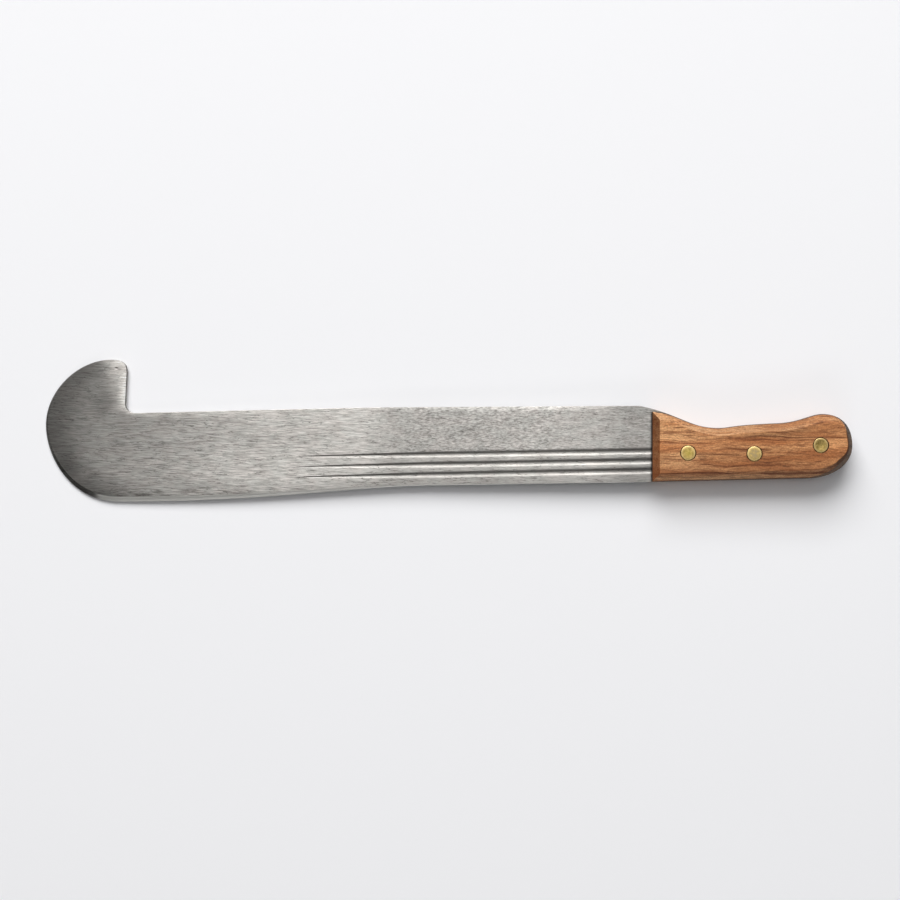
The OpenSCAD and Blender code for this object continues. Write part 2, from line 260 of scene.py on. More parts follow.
# The tool lies on its nose, a little behind the foremost point, and on the front of the back
# scale, with the middle of its solids' box over the origin
scale_thickness = 10.5 * mm
scale_chamfer = 4.8 * mm
nose_contact = 1.9 * mm
box_middle_y = 14.5 * mm
grip_z = half_steel + scale_thickness
rest_tilt = math.atan(scale_thickness / (scale_chamfer - (nose_contact - blade_length)))
rest_lift = grip_z * math.cos(rest_tilt) - scale_chamfer * math.sin(rest_tilt)
box_middle_x = (butt[0] - blade_length) / 2 * math.cos(rest_tilt)
at_rest = (Matrix.Translation((-box_middle_x, -box_middle_y, rest_lift))
           @ Matrix.Rotation(-rest_tilt, 4, "Y"))


def make_piece(name, points, faces, material, crease, flip=False):
    points = np.array(points, float)
    if flip:
        points[:, 2] *= -1
        faces = [tuple(f)[::-1] for f in faces]
    mesh = bpy.data.meshes.new(name)
    mesh.from_pydata([tuple(p) for p in points], [], [tuple(int(i) for i in f) for f in faces])
    mesh.validate()
    mesh.shade_smooth()
    mesh.set_sharp_from_angle(angle=math.radians(crease))
    piece = bpy.data.objects.new(name, mesh)
    bpy.context.scene.collection.objects.link(piece)
    mesh.materials.append(material)
    piece.matrix_world = at_rest
    weighted = piece.modifiers.new("even shading", "WEIGHTED_NORMAL")
    weighted.keep_sharp = True
    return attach(piece, "root")


# Where each fuller starts, the way it runs, and the way across it towards the spine. Each fans
# out a little from the one before.
def fuller_axes():
    for k in range(fuller_count):
        slope = fuller_slope + k * fuller_fan
        start = np.array([fuller_tuck, fuller_height - k * fuller_pitch])
        ahead = np.array([-math.cos(slope), -math.sin(slope)])
        yield start, ahead, np.array([ahead[1], -ahead[0]])


# A fuller runs out towards the nose, and widens on its spine side towards the handle
def fuller_share(along):
    return np.clip((fuller_tuck + fuller_length - along) / fuller_runout, 0, 1)


def fuller_half(along, across):
    flare = fuller_flare * np.clip(1 - along / fuller_length, 0, 1) * (np.asarray(across) > 0)
    return fuller_width / 2 * np.sqrt(fuller_share(along)) * (1 + flare)


def from_fullers(xy):
    """How far along and across each fuller the points lie, and its half width there."""
    for start, ahead, aside in fuller_axes():
        along, across = (xy - start) @ ahead, (xy - start) @ aside
        yield along, across, np.maximum(fuller_half(along, across), 1e-9)


def sunk_by_fullers(xy):
    sunk = np.zeros(len(xy))
    for along, across, half in from_fullers(xy):
        depth = fuller_depth * fuller_share(along) ** 0.8
        groove = depth * (1 + np.cos(math.pi * np.clip(across / half, -1, 1))) / 2
        sunk = np.maximum(sunk, np.where(along > -1e-6, groove, 0))
    return sunk


# The lines draw closer along the run-out, and stop just before they would meet
def fuller_lines(full_steps=40, runout_steps=39, lines=11):
    run = fuller_tuck + fuller_length
    left = (1 - np.linspace(0, 1, runout_steps, endpoint=False)) ** 2
    along = np.concatenate([np.linspace(0, run - fuller_runout, full_steps, endpoint=False),
                            run - fuller_runout * left])
    for start, ahead, aside in fuller_axes():
        for share in np.linspace(-1, 1, lines):
            across = fuller_half(along, share) * share
            yield start + along[:, None] * ahead + across[:, None] * aside


# A small dent near the hook's tip, from a knock. Each ring of its points is turned a little.
dent = np.array([-359 * mm, 57 * mm])
dent_stretch = np.array([1.5, 0.6])
dent_radius = 1.3 * mm
dent_depth = 0.14 * mm
dent_rings = []
for radius in (0.3 * mm, 0.6 * mm, 0.9 * mm, 1.3 * mm, 1.8 * mm):
    angle = np.arange(14) * math.pi / 7 + radius * 400
    dent_rings.append(dent + dent_stretch * radius * np.stack([np.cos(angle), np.sin(angle)], 1))


def steel_face_z(xy):
    from_dent = np.hypot(*((xy - dent) / dent_stretch).T)
    knock = dent_depth * np.clip(1 - (from_dent / dent_radius) ** 2, 0, None) ** 2
    return half_steel - sunk_by_fullers(xy) - knock


# A dull edge is rounded over and a keen one is ground to a slightly full bevel, so each row of
# the rim lies between the two. The belly and the neck are whetted, from just behind the nose.
rim_steps = 6
whetted_from, whetted_over = -376 * mm, 5 * mm
edge_x, edge_y, bevel, keen = steel_outline.T
whetted = np.clip((edge_x - whetted_from) / whetted_over, 0, 1) * (keen > 0) * (edge_y < 0)
fullness = 0.2 + 0.6 * whetted
edge_z = (half_steel - broken_edge) * (1 - keen) + half_keen_edge * keen
rim_rows = []
for share in np.linspace(0, 1, rim_steps + 1):
    turn = share * math.pi / 2
    inward = (1 - math.sin(turn)) * (1 - keen) + (1 - share) * keen
    ground_up = 1 - (1 - fullness) * share - fullness * share**2
    upward = math.cos(turn) * (1 - keen) + ground_up * keen
    xy = moved_in(steel_outline, bevel * inward)
    rim_rows.append(np.column_stack([xy, edge_z + (half_steel - edge_z) * upward]))

flat_ring = rim_rows[0][:, :2]
loose = grid_within(flat_ring, (-404, 132, 5), (-33, 63, 4), 2.2 * mm)
off_fullers = np.ones(len(loose), bool)
for along, across, half in from_fullers(loose):
    off_fullers &= ((np.abs(across) > half + 0.8 * mm) | (along > fuller_length + 10 * mm)
                    | (along < -2 * mm))
loose = loose[off_fullers]
for place in rivet_places:
    loose = clear_of(loose, place, shank_hole + 1.5 * mm)
loose = np.vstack([clear_of(loose, dent, 3 * mm), dent[None], *dent_rings])
shank_holes = [round_hole(place, shank_hole) for place in rivet_places]
flat_points, flat_faces = sheet_of(flat_ring, shank_holes, list(fuller_lines()), loose)
flat_count, ring_size = len(flat_points), len(flat_ring)
flat_z = steel_face_z(flat_points)
flat_z[:ring_size] = half_steel

# Both flat faces come first, then the rim's rows from the front face round to the back one
rim = rim_rows[1:] + [row * (1, 1, -1) for row in rim_rows[:0:-1]]
blade_points = [np.column_stack([flat_points, flat_z]), np.column_stack([flat_points, -flat_z])]
blade_points += rim
blade_faces = [tuple(f) for f in flat_faces]
blade_faces += [tuple(f[::-1] + flat_count) for f in flat_faces]
row_starts = [0, *(2 * flat_count + k * ring_size for k in range(len(rim))), flat_count]
for upper, lower in zip(row_starts, row_starts[1:]):
    blade_faces += strip(upper, lower, ring_size)
for k in range(len(shank_holes)):
    hole_start = ring_size + k * hole_sides
    blade_faces += strip(hole_start, hole_start + flat_count, hole_sides)


class Finish:
    """Joins up the nodes of one material."""

    def __init__(self, name):
        self.material = bpy.data.materials.new(name)
        self.material.use_nodes = True
        self.nodes, self.links = self.material.node_tree.nodes, self.material.node_tree.links
        self.shader = self.nodes["Principled BSDF"]
        source = self.nodes.new("ShaderNodeTexCoord")
        self.place, self.lie = source.outputs["Object"], source.outputs["Normal"]

    def put(self, socket, value):
        if isinstance(value, bpy.types.NodeSocket):
            self.links.new(value, socket)
        else:
            socket.default_value = value

    def stretched(self, size, shift=(0, 0, 0), turn=0.0, bent_by=None):
        node = self.nodes.new("ShaderNodeMapping")
        node.vector_type = "TEXTURE"
        node.inputs["Scale"].default_value = size
        node.inputs["Location"].default_value = shift
        node.inputs["Rotation"].default_value = (0, 0, turn)
        self.put(node.inputs["Vector"], bent_by or self.place)
        return node.outputs["Vector"]

    def noise(self, place, detail, roughness):
        node = self.nodes.new("ShaderNodeTexNoise")
        node.inputs["Scale"].default_value = 1.0
        node.inputs["Detail"].default_value = detail
        node.inputs["Roughness"].default_value = roughness
        self.put(node.inputs["Vector"], place)
        return node.outputs["Fac"]

    def span(self, value, low, high, to_low=0.0, to_high=1.0, smooth=False):
        node = self.nodes.new("ShaderNodeMapRange")
        node.interpolation_type = "SMOOTHSTEP" if smooth else "LINEAR"
        for name, number in (("Value", value), ("From Min", low), ("From Max", high),
                             ("To Min", to_low), ("To Max", to_high)):
            self.put(node.inputs[name], number)
        return node.outputs["Result"]

    def maths(self, kind, a, b=0.0, c=0.0):
        node = self.nodes.new("ShaderNodeMath")
        node.operation = kind
        for socket, value in zip(node.inputs, (a, b, c)):
            self.put(socket, value)
        return node.outputs["Value"]

    def times(self, value, *factors):
        for factor in factors:
            value = self.maths("MULTIPLY", value, factor)
        return value

    def lifted(self, value, share):
        """The value, raised by a share of itself, or lowered where the share is negative."""
        return self.maths("MULTIPLY_ADD", value, share, value)

    def blend(self, share, a, b, kind="MIX"):
        node = self.nodes.new("ShaderNodeMix")
        node.data_type = "RGBA"
        node.blend_type = kind
        self.put(node.inputs["Factor"], share)
        self.put(node.inputs["A"], a)
        self.put(node.inputs["B"], b)
        return node.outputs["Result"]

    def axes(self, place=None):
        node = self.nodes.new("ShaderNodeSeparateXYZ")
        self.put(node.inputs["Vector"], place or self.place)
        return node.outputs["X"], node.outputs["Y"], node.outputs["Z"]

    def bent(self, amount, size):
        """The place, moved about by a slow noise."""
        noise = self.nodes.new("ShaderNodeTexNoise")
        noise.inputs["Scale"].default_value = 1.0
        noise.inputs["Detail"].default_value = 1.0
        self.put(noise.inputs["Vector"], self.stretched(size, (0.31, 0.17, 0.05)))
        lean = self.nodes.new("ShaderNodeVectorMath")
        lean.operation = "MULTIPLY_ADD"
        self.put(lean.inputs[0], noise.outputs["Color"])
        lean.inputs[1].default_value = amount
        self.put(lean.inputs[2], self.place)
        return lean.outputs["Vector"]

    def distance(self, centre, place=None):
        node = self.nodes.new("ShaderNodeVectorMath")
        node.operation = "DISTANCE"
        self.put(node.inputs[0], place or self.place)
        node.inputs[1].default_value = centre
        return node.outputs["Value"]

    def scaled(self, colour, factor):
        node = self.nodes.new("ShaderNodeVectorMath")
        node.operation = "SCALE"
        self.put(node.inputs[0], colour)
        self.put(node.inputs["Scale"], factor)
        return node.outputs["Vector"]

    def height_of(self, curve, along):
        """The height of a curve, fitted as a polynomial, at each place along it."""
        height = curve[0]
        for part in curve[1:]:
            height = self.maths("MULTIPLY_ADD", height, along, part)
        return height

    def mark(self, name):
        node = self.nodes.new("ShaderNodeAttribute")
        node.attribute_name = name
        return node.outputs["Fac"]

    def bump(self, height, depth):
        node = self.nodes.new("ShaderNodeBump")
        node.inputs["Distance"].default_value = depth
        self.put(node.inputs["Height"], height)
        return node.outputs["Normal"]


def shade(r, g, b):
    """A colour as it is seen on a screen, from 0 to 255, in the light that the shader counts in."""
    return tuple((c / 255 / 12.92 if c < 10 else ((c / 255 + 0.055) / 1.055) ** 2.4)
                 for c in (r, g, b)) + (1.0,)


steel = Finish("brushed_carbon_steel")
along, across = steel.axes()[:2]

# The brush has left long streaks that sway a little. Nearer the handle they break up into
# speckles, though less so among the fullers.
wavy = steel.bent((3 * mm, 1.5 * mm, 0), (30 * mm, 9 * mm, 9 * mm))
streaks = steel.noise(steel.stretched((8.5 * mm, 0.55 * mm, 0.55 * mm), turn=math.radians(-2),
                                      bent_by=wavy), 4, 0.66)
speckle = steel.noise(steel.stretched((2.3 * mm, 0.75 * mm, 0.75 * mm), (0.1, 0.3, 0)), 2, 0.6)
above_fullers = steel.maths("MULTIPLY_ADD", along, -math.sin(fuller_slope), across)
calm = steel.times(steel.span(above_fullers, 2 * mm, 3.5 * mm, 1, 0, True),
                   steel.span(along, -250 * mm, -200 * mm, 0, 1, True))
speckled = steel.times(steel.span(along, -210 * mm, -150 * mm, 0.05, 0.85, True),
                       steel.span(along, -80 * mm, -40 * mm, 1, 0.5, True),
                       steel.span(calm, 0, 1, 1, 0.3))
grain = steel.maths("MULTIPLY_ADD", speckled, steel.maths("SUBTRACT", speckle, streaks), streaks)

# The grain stands out most on the front half of the blade, and least among the fullers
even_grain = 0.52
lively = steel.times(steel.span(along, -385 * mm, -335 * mm),
                     steel.span(along, -240 * mm, -180 * mm, 0.22, 0.06, True))
evened = steel.maths("SUBTRACT", steel.times(calm, 0.4), lively)
grain = steel.maths("MULTIPLY_ADD", steel.maths("SUBTRACT", even_grain, grain), evened, grain)

# Thin dark threads and faint dark clouds lie over it
threads = steel.noise(steel.stretched((9 * mm, 0.9 * mm, 0.9 * mm), (0.2, 0.1, 0),
                                      math.radians(-3), wavy), 3, 0.5)
from_thread = steel.maths("ABSOLUTE", steel.maths("SUBTRACT", threads, 0.5))
thinned = steel.noise(steel.stretched((8 * mm, 2.5 * mm, 2.5 * mm), (0.4, 0.2, 0)), 2, 0.5)
thread = steel.times(steel.span(from_thread, 0.0, 0.04, 1, 0), steel.span(thinned, 0.4, 0.6))
clouds = steel.noise(steel.stretched((34 * mm, 14 * mm, 14 * mm), (0.07, 0.03, 0)), 2, 0.5)
bare = steel.blend(steel.span(grain, 0.32, 0.68), shade(170, 165, 160), shade(249, 244, 238))
lined = steel.blend(steel.times(thread, 0.8), bare, shade(92, 89, 84))
cloudy = steel.blend(steel.span(clouds, 0.35, 0.65, 0, 0.13), lined, shade(140, 138, 134),
                     "MULTIPLY")

# Above the ground edge of the belly the grinding has left a row of short dark strokes
on_belly = (edge_y < 0) & (edge_x > -380 * mm) & (edge_x < -60 * mm)
belly_curve = np.polyfit(edge_x[on_belly], edge_y[on_belly], 5).tolist()
above_belly = steel.maths("SUBTRACT", across, steel.height_of(belly_curve, along))
strokes = steel.times(steel.span(above_belly, 4 * mm, 9.5 * mm, 0.6, 0),
                      steel.span(along, -372 * mm, -352 * mm),
                      steel.span(along, -315 * mm, -240 * mm, 1, 0),
                      steel.span(streaks, 0.42, 0.54, 1, 0))
stroked = steel.blend(strokes, cloudy, shade(120, 115, 109))

# The nose is darker, most of all along its arc: partly weathering, partly painted shade in place of
# the darker reflection its curved steel gives
nose_place = steel.stretched((1, 0.65, 1), (-300 * mm, 16.5 * mm, 0))
arc = steel.span(steel.distance((0, 0, 0), nose_place), 70 * mm, 106 * mm, 1, 0.42, True)
light = steel.times(steel.maths("MAXIMUM", arc, steel.span(along, -310 * mm, -290 * mm)),
                    steel.span(along, -358 * mm, -250 * mm, 0.55, 0.88))

# Painted highlights brighten it along the hook's inner edge, along the middle of the front half,
# and on top of the hook
inner_edge_highlight = steel.times(steel.span(steel.maths("MULTIPLY_ADD", across, 0.3, along),
                                   -354.5 * mm, -338.5 * mm, 0, 0.96, True),
                        steel.span(across, 25 * mm, 33 * mm, 0, 1, True),
                        steel.span(along, -350 * mm, -340 * mm, 1, 0))
middle_highlight = steel.times(steel.span(across, 6 * mm, -3 * mm, 0, 0.165, True),
                         steel.span(across, -22 * mm, -14 * mm, 0, 1, True),
                         steel.span(along, -300 * mm, -215 * mm, 1, 0, True))
hook_top_highlight = steel.span(steel.distance((-363 * mm, 61 * mm, half_steel)),
                     3 * mm, 13 * mm, 0.5, 0, True)
for highlight in (inner_edge_highlight, middle_highlight, hook_top_highlight):
    light = steel.lifted(light, highlight)

# Two smears are darker, and the dent and a band along the belly are painted darker, as shade
for smear, left in (((-368 * mm, 33 * mm, half_steel), 0.68),
                    ((-392 * mm, -7 * mm, half_steel), 0.72)):
    light = steel.times(light, steel.span(steel.distance(smear), 2 * mm, 12 * mm, left, 1, True))
dent_place = steel.stretched((*dent_stretch, 1), (*dent, half_steel))
from_dent = steel.distance((0, 0, 0), dent_place)
belly_shade = steel.times(steel.span(above_belly, 4 * mm, 8.5 * mm, -0.15, 0, True),
                          steel.span(along, -300 * mm, -235 * mm),
                          steel.span(along, -62 * mm, -38 * mm, 1, 0))
light = steel.times(light, steel.span(from_dent, 0.4 * mm, 1.2 * mm, 0.22, 1, True))
light = steel.lifted(light, belly_shade)

# The hand has dulled the steel towards the grip, and it is darker low on the neck. Painted shade
# darkens the corner at the scales' front and the tang's edge round the handle, but not above their
# high corner.
held = steel.times(steel.span(along, -196 * mm, -168 * mm, 1, 0.77, True),
                   steel.span(along, -118 * mm, -84 * mm, 1, 1.09, True),
                   steel.span(along, -50 * mm, -10 * mm, 1, 0.76, True))
neck_shade = steel.times(steel.span(along, -90 * mm, -10 * mm, 0, -0.16),
                         steel.span(across, -19 * mm, -8 * mm, 1, 0))
corner_shade = steel.maths("MAXIMUM", steel.span(along, -1.1 * mm, -0.1 * mm, 1, 0.32, True),
                    steel.span(across, 26.8 * mm, 28 * mm, 0.32, 1, True))
light = steel.times(light, steel.lifted(held, neck_shade), corner_shade)
# Painted highlights brighten the marked fuller walls, the spine's edge and the nose's arc
wear_and_painted_light = steel.scaled(stroked, steel.lifted(light, steel.mark("painted_highlight")))

# Some patches are a trace bluer, and the tang's edge round the handle is painted a brown-grey
# shade, darkest below. Painted shade darkens the spine-side walls of the fullers and the inside of
# the hook, and the whetted edges are bright.
bloom = steel.noise(steel.stretched((11 * mm, 7 * mm, 7 * mm), (0.05, 0.2, 0)), 2, 0.5)
bloomed = steel.blend(steel.span(bloom, 0.4, 0.6), wear_and_painted_light, (0.975, 1, 1, 1), "MULTIPLY")
rim_shade_share = steel.times(steel.span(along, 0.5 * mm, 2 * mm),
                        steel.span(across, 4 * mm, 20 * mm, 0.74, 0.3, True))
rim_shaded = steel.blend(rim_shade_share, bloomed, shade(100, 80, 66))
wall_shaded = steel.blend(steel.mark("painted_shade"), rim_shaded, shade(62, 60, 57))
whet = steel.mark("whetted")
steel.put(steel.shader.inputs["Base Color"], steel.blend(whet, wall_shaded, shade(226, 224, 219)))
steel.shader.inputs["Metallic"].default_value = 1.0
steel.put(steel.shader.inputs["Roughness"],
          steel.maths("MULTIPLY_ADD", whet, 0.12, steel.span(grain, 0.35, 0.65, 0.38, 0.3)))
relief = steel.maths("SUBTRACT", steel.times(grain, 0.5), steel.times(thread, 0.35))
steel.put(steel.shader.inputs["Normal"], steel.bump(relief, 0.05 * mm))

blade = make_piece("blade_and_tang", np.vstack(blade_points), blade_faces, steel.material, 14)


def mark_steel(name, on_flats, on_rim):
    marks = np.concatenate([on_flats, on_flats, np.tile(on_rim, len(rim))])
    blade.data.attributes.new(name, "FLOAT", "POINT").data.foreach_set("value", marks)


# Painted shade darkens the spine side of each fuller and the inside of the hook, and a painted
# highlight brightens the other side of the fullers near the grip
flat_x = flat_points[:, 0]
shade_strength = np.interp(flat_x / mm, (-240, -195, -155, -115, -75, -35),
                       (0.95, 0.7, 0.6, 0.6, 0.7, 0.8))
near_grip = np.clip((flat_x + 80 * mm) / (70 * mm), 0, 1)
flat_shade, flat_highlight = np.zeros(flat_count), np.zeros(flat_count)
for along_it, across_it, half in from_fullers(flat_points):
    share = fuller_share(along_it)
    aside = across_it / half
    dark_wall = (1 - np.abs(aside - 0.5) / 0.45) * (1.8 - 0.8 * share)
    flat_shade = np.maximum(flat_shade, np.clip(dark_wall, 0, 1) * (share > 0) * shade_strength)
    lit_wall = np.clip(1 - np.abs(aside + 0.4) / 0.4, 0, 1) * (share > 0)
    flat_highlight += lit_wall * 0.5 * near_grip
in_hook = (np.abs(edge_x - notch_x) < 8 * mm) & (edge_y > notch_y) & (edge_y < crest[1] - 4 * mm)

# Painted highlights brighten the spine's edge too, and the arc of the nose
spine_highlight = np.interp(
    edge_x / mm, (-382, -370, -345, -300, -260, -210, -160, -120, -60, -40, -22),
    (0, 0.45, 0.5, 0.35, 0.2, 0.05, 0.3, 0.45, 0.7, 0.35, 0))
flat_highlight[:ring_size] = spine_highlight * (edge_y > 20 * mm) * (edge_x < 0)
arc_highlight = np.clip((15 * mm - edge_y) / (15 * mm), 0, 0.9) * (keen > 0) * (1 - whetted)
mark_steel("whetted", np.zeros(flat_count), whetted)
mark_steel("painted_shade", flat_shade, in_hook * keen * 0.64)
mark_steel("painted_highlight", flat_highlight, arc_highlight)
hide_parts("blade")

# The two scales are sawn from one plank of oiled hardwood, shaped as a mirrored pair, and riveted
# to the tang, whose edge stands a little proud all round. Their edges are chamfered: crisply at
# the front and below, softly rounded where the palm lies.
tang_proud = 0.4 * mm
butt_proud = 3.3 * mm
corner_proud = 1.6 * mm
corner_reach = 6 * mm
butt_chamfer = 1.4 * mm
head_seat_radius = 5.3 * mm
head_seat_depth = 2.1 * mm
seat_wear = 0.18 * mm
clear_of_front = 8.5 * mm
crisp_rounding = 0.45 * mm
back_rounding = 0.2 * mm
knob_rounding = 1.3 * mm
knob_reach = 11 * mm

# The tang's edge within the handle, from the front's low corner round the butt to its high corner
back = handle_back[handle_back[:, 0] > 0]
last, beyond = handle_back[len(back) - 1], handle_back[len(back)]
front_high = last + (beyond - last) * last[0] / (last[0] - beyond[0])
side = np.vstack([handle_under[::-1], handle_back[1:len(back)]])
side = np.vstack([p_front_low[None], side[side[:, 0] > clear_of_front], front_high[None]])
step = np.gradient(side[:, :2], axis=0)
inward = np.stack([-step[:, 1], step[:, 0]], 1) / np.linalg.norm(step, axis=1)[:, None]

# It stands proudest at the end of the butt and below it, and stands out again at the corner where
# the handle meets the blade's spine
facing = np.degrees(np.arctan2(-inward[:, 1], -inward[:, 0]))
end_share = np.clip(np.minimum((facing + 95) / 45, (75 - facing) / 60), 0, 1)
side_proud = tang_proud + (butt_proud - tang_proud) * end_share
side_proud += corner_proud * np.exp(-np.abs(side[:, 0] / corner_reach) ** 1.5) * (side[:, 1] > 0)
foot = side[:, :2] + inward * side_proud[:, None]
foot[0] = (0, front_low[1] + tang_proud)
foot[-1, 0] = 0
front_edge = np.linspace(foot[-1] - (0, clear_of_front), foot[0] + (0, clear_of_front), 12)
foot_ring = np.vstack([foot, front_edge])
foot_size = len(foot_ring)
ring_normal = corner_normals(foot_ring)
ring_normal /= np.linalg.norm(ring_normal, axis=1)[:, None]
at_front = foot_ring[:, 0] < 0.01 * mm
butt_share = np.clip(-ring_normal[:, 0], 0, 1) * ~at_front
chamfer_width = scale_chamfer + (butt_chamfer - scale_chamfer) * np.where(
    ring_normal[:, 1] > 0, butt_share**1.35, butt_share)

# How far each stretch of the chamfer has been rounded over by sanding, most of all at the knob
on_back = np.clip(-ring_normal[:, 1], 0, 1) * ~at_front
rounding = crisp_rounding + back_rounding * on_back
from_knob = np.hypot(foot_ring[:, 0] - knob[0] - 8 * mm, foot_ring[:, 1] - knob[1] + 1 * mm)
rounding += knob_rounding * np.exp(-(from_knob / knob_reach) ** 2)
rounding = np.convolve(np.concatenate([rounding[-4:], rounding, rounding[:4]]),
                       np.ones(9) / 9, "valid")
rounding[at_front] = crisp_rounding


def section_rows():
    """Rows up the side of a scale: how far in from its foot, and how far below its crown."""
    yield 0 * chamfer_width, np.full(foot_size, scale_thickness)
    slant = rounding / math.sqrt(2)
    for corner_in, corner_down, start, end in (
            (0, chamfer_width, (0, rounding), (slant, -slant)),
            (chamfer_width, 0, (-slant, slant), (rounding, 0))):
        for t in np.linspace(0, 1, 6):
            a, b = (1 - t) ** 2, t * t
            yield (corner_in + a * start[0] + b * end[0], corner_down + a * start[1] + b * end[1])


scale_rows = [np.column_stack([moved_in(foot_ring, inset), grip_z - down])
              for inset, down in section_rows()]
crown_ring, under_ring = scale_rows[-1][:, :2], scale_rows[0][:, :2]
seats = [round_hole(place, head_seat_radius + seat_wear) for place in rivet_places]
loose = grid_within(crown_ring, (6, 130, 5), (-15, 27, 4), 2 * mm)
for place in rivet_places:
    loose = clear_of(loose, place, head_seat_radius + 2 * mm)
crown_points, crown_faces = sheet_of(crown_ring, seats, [], loose)
under_points, under_faces = sheet_of(under_ring, shank_holes, [], np.zeros((0, 2)))

# The crown comes first, then the rows down to the foot, the underside and the walls of the seats
scale_points = [np.column_stack([crown_points, np.full(len(crown_points), grip_z)])]
scale_points += scale_rows[-2:0:-1]
scale_faces = [tuple(f) for f in crown_faces]
count = len(crown_points)
row_starts = [0, *(count + k * foot_size for k in range(len(scale_rows) - 1))]
for upper, lower in zip(row_starts, row_starts[1:]):
    scale_faces += strip(upper, lower, foot_size)
count = row_starts[-1]
scale_points.append(np.column_stack([under_points, np.full(len(under_points), half_steel)]))
scale_faces += [tuple(f[::-1] + count) for f in under_faces]
seat_start, shank_start = foot_size, count + foot_size
count += len(under_points)
for place in rivet_places:
    previous = seat_start
    for radius, z in ((head_seat_radius, grip_z - seat_wear),
                      (head_seat_radius, grip_z - head_seat_depth),
                      (shank_hole, grip_z - head_seat_depth)):
        scale_faces += strip(previous, count, hole_sides)
        scale_points.append(np.column_stack([round_hole(place, radius), np.full(hole_sides, z)]))
        previous, count = count, count + hole_sides
    scale_faces += strip(previous, shank_start, hole_sides)
    seat_start += hole_sides
    shank_start += hole_sides

# The grain runs along the handle, swaying a little, in broad bands, fibres, open pores and flecks
wood = Finish("oiled_hardwood")
flow = wood.bent((7 * mm, 3.8 * mm, 2 * mm), (27 * mm, 8 * mm, 8 * mm))
broad = wood.noise(wood.stretched((60 * mm, 6 * mm, 6 * mm), (0.03, 0.02, 0), bent_by=flow), 2, 0.5)
bands = wood.noise(wood.stretched((16 * mm, 1.5 * mm, 1.5 * mm), (0.02, 0.01, 0), bent_by=flow),
                   4, 0.62)
fibres = wood.noise(wood.stretched((4.5 * mm, 0.6 * mm, 0.6 * mm), (0.04, 0.02, 0), bent_by=flow),
                    2, 0.6)
pores = wood.noise(wood.stretched((9.5 * mm, 0.6 * mm, 0.6 * mm), (0.07, 0.05, 0), bent_by=flow),
                   3, 0.5)
flecks = wood.noise(wood.stretched((1.1 * mm, 0.7 * mm, 0.7 * mm), (0.01, 0.06, 0)), 2, 0.6)
ground = wood.blend(wood.span(broad, 0.38, 0.6), shade(174, 110, 64), shade(204, 146, 96))
banded = wood.blend(wood.span(bands, 0.5, 0.66, 0, 0.7, True), ground, shade(126, 72, 38))
fibrous = wood.blend(wood.span(fibres, 0.46, 0.68, 0, 0.6), banded, shade(112, 64, 36))
figure = wood.blend(wood.span(pores, 0.55, 0.66, 0, 0.62, True), fibrous, shade(84, 45, 26))

# The darkest lines of the grain: how high each lies, where it starts and ends, and its half width
flow_x, flow_y = wood.axes(flow)[:2]
for line_y, line_from, line_to, line_width in (
        (0.8 * mm, 24 * mm, 60 * mm, 0.8 * mm), (4.9 * mm, 44 * mm, 86 * mm, 1.3 * mm),
        (12.4 * mm, 58 * mm, 140 * mm, 0.9 * mm), (10.3 * mm, 60 * mm, 122 * mm, 0.5 * mm),
        (8.9 * mm, 2 * mm, 46 * mm, 0.8 * mm), (-11.6 * mm, 2 * mm, 62 * mm, 0.9 * mm),
        (-10.8 * mm, 70 * mm, 126 * mm, 1.3 * mm), (-6.4 * mm, 26 * mm, 96 * mm, 0.6 * mm)):
    aside = wood.maths("ABSOLUTE", wood.maths("SUBTRACT", flow_y, line_y))
    middle, half_run = (line_from + line_to) / 2, (line_to - line_from) / 2
    beyond = wood.maths("ABSOLUTE", wood.maths("SUBTRACT", flow_x, middle))
    on_line = wood.times(wood.span(aside, 0, line_width, 0.85, 0, True),
                         wood.span(beyond, half_run * 0.6, half_run, 1, 0, True))
    figure = wood.blend(on_line, figure, shade(104, 56, 28))
flecked = wood.scaled(figure, wood.span(flecks, 0.3, 0.7, 1.28, 0.72))

# The wood is paler towards the front, darker along the middle of its length and lighter towards the
# knob. Across, it is darker towards the bottom and lighter above the middle, and painted shade
# darkens it towards its top edge.
reach, height = wood.axes()[:2]
pale = wood.blend(wood.span(reach, 12 * mm, 56 * mm, 1, 0, True), flecked,
                  (1.2, 1.32, 1.45, 1), "MULTIPLY")
length_tone = wood.times(wood.span(reach, 15 * mm, 60 * mm, 1, 0.93, True),
                     wood.span(reach, 95 * mm, 118 * mm, 1, 1.08, True))
height_tone_and_shade = wood.times(wood.span(height, -13.5 * mm, -6 * mm, 0.82, 1),
                      wood.span(height, 7 * mm, 11.5 * mm, 1, 0.86, True),
                      wood.span(height, -3 * mm, 5 * mm, 0.88, 1.12, True))

# Painted shade darkens a band of the crown just below its chamfered back, over the middle of its
# length
on_crown_back = (crown_ring[:, 1] > 6 * mm) & (np.abs(crown_ring[:, 0] - 80 * mm) < 36 * mm)
crown_back = np.polyfit(crown_ring[on_crown_back, 0], crown_ring[on_crown_back, 1], 4).tolist()
below_back = wood.maths("SUBTRACT", wood.height_of(crown_back, reach), height)
crown_back_shade = wood.times(wood.span(below_back, -0.5 * mm, 0.1 * mm),
                  wood.span(below_back, 1.6 * mm, 4 * mm, 1, 0, True),
                  wood.span(reach, 56 * mm, 68 * mm), wood.span(reach, 104 * mm, 112 * mm, 1, 0))
toned_and_shaded = wood.scaled(pale, wood.times(length_tone, height_tone_and_shade, wood.span(crown_back_shade, 0, 1, 1, 0.79)))

# Oil has soaked in along the crown's lower edge, most of all near the butt
oiled = wood.times(wood.span(height, -11 * mm, -5 * mm, 1, 0, True),
                   wood.span(height, -15.5 * mm, -13.5 * mm),
                   wood.span(reach, 70 * mm, 98 * mm, 0.5, 1))
soaked = wood.blend(oiled, toned_and_shaded, (0.86, 0.76, 0.72, 1), "MULTIPLY")
